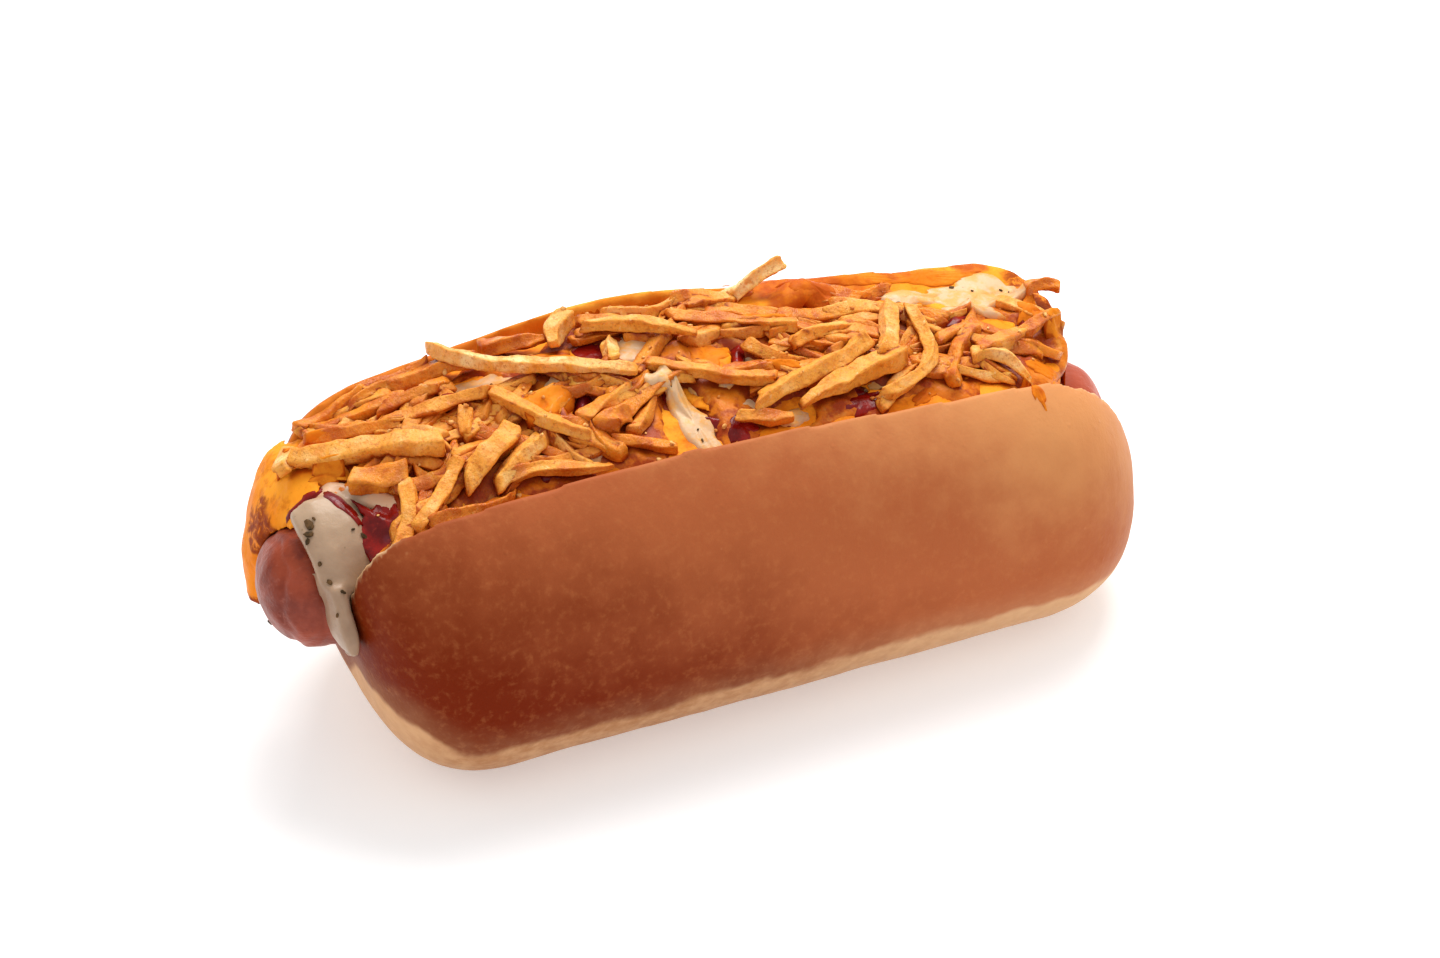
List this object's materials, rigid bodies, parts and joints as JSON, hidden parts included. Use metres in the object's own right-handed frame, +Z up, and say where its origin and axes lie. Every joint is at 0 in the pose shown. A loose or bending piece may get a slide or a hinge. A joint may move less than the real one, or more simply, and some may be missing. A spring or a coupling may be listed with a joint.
{
  "type": "hot dog",
  "caption": "Loaded hot dog in a slit soft bun, the sausage under melted cheese, ketchup, a pale herb sauce and crisp thin potato sticks.",
  "frame": {"origin": "on the flat underside of the bun, under the sausage, near the middle of its length", "axes": "+X along the bun towards its rounder end, +Y across it towards the side that stands higher, +Z up"},
  "size_m": [0.1743, 0.073, 0.0695],
  "materials": {
    "bun": "baked brown crust with a soft sheen, paler along the bottom",
    "sausage": "smooth grilled skin with a moist shine",
    "cheese": "melted, browned in places",
    "ketchup": "wet gloss",
    "white_sauce": "creamy, with dark specks of herb",
    "fries": "fried, golden, partly glazed with sauce"
  },
  "bodies": {
    "root": {"bun": "bun", "sausage": "sausage", "cheese": "cheese", "ketchup": "ketchup", "white_sauce": "white_sauce", "fries": "fries"}
  },
  "joints": []
}
